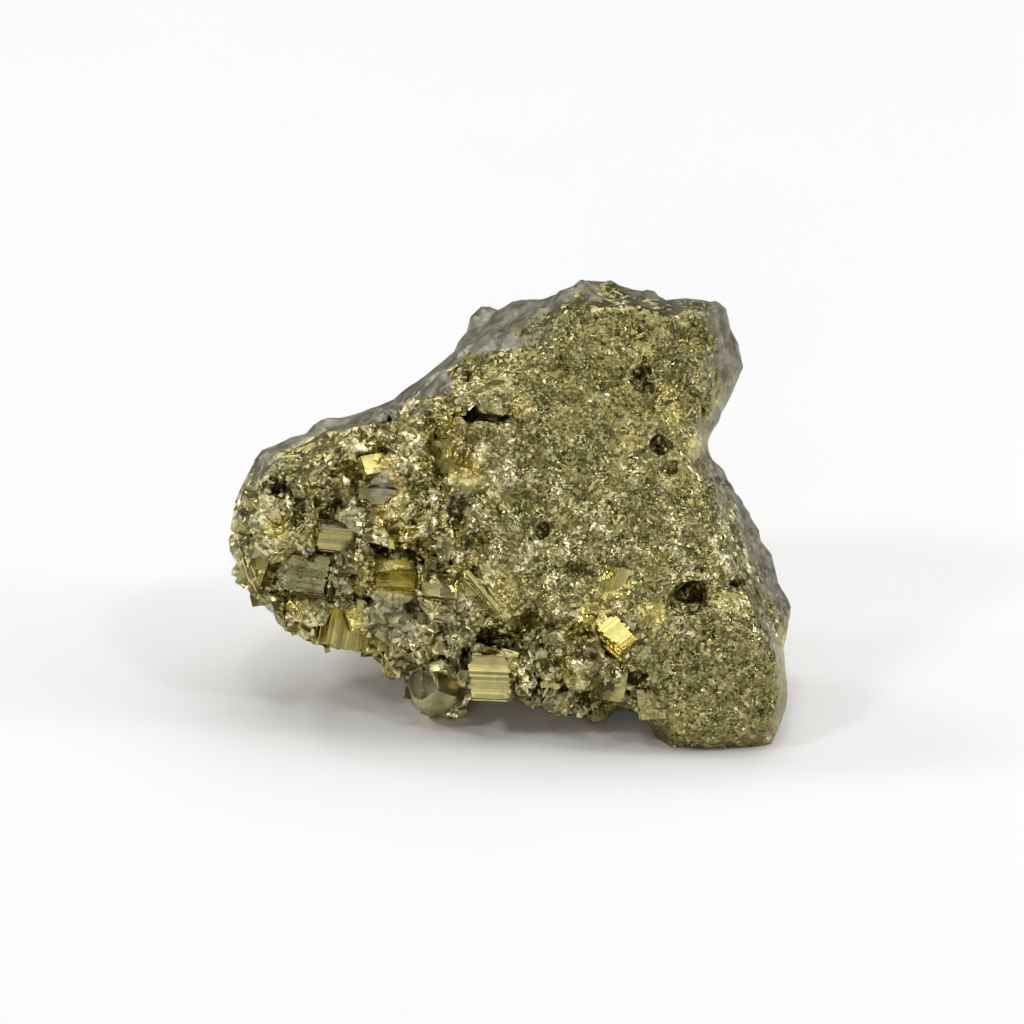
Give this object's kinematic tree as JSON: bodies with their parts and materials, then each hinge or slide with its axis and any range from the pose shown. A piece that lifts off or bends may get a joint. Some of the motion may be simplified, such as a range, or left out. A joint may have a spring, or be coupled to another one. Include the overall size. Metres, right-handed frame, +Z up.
{
  "type": "pyrite specimen",
  "caption": "Natural chunk of intergrown pyrite crystals with flat faces, lumps, ledges and pits, resting on worn facets of its underside.",
  "frame": {"origin": "centre of the underside of its bounding box, on the ground that it rests on", "axes": "+X to the right along its longest extent, +Y to the back, +Z up; the broad granular face looks to -Y and leans back by 25 degrees"},
  "size_m": [0.045, 0.0294, 0.0311],
  "materials": {
    "pyrite": "granular with a metallic lustre"
  },
  "bodies": {
    "root": {"pyrite": "pyrite"}
  },
  "joints": []
}
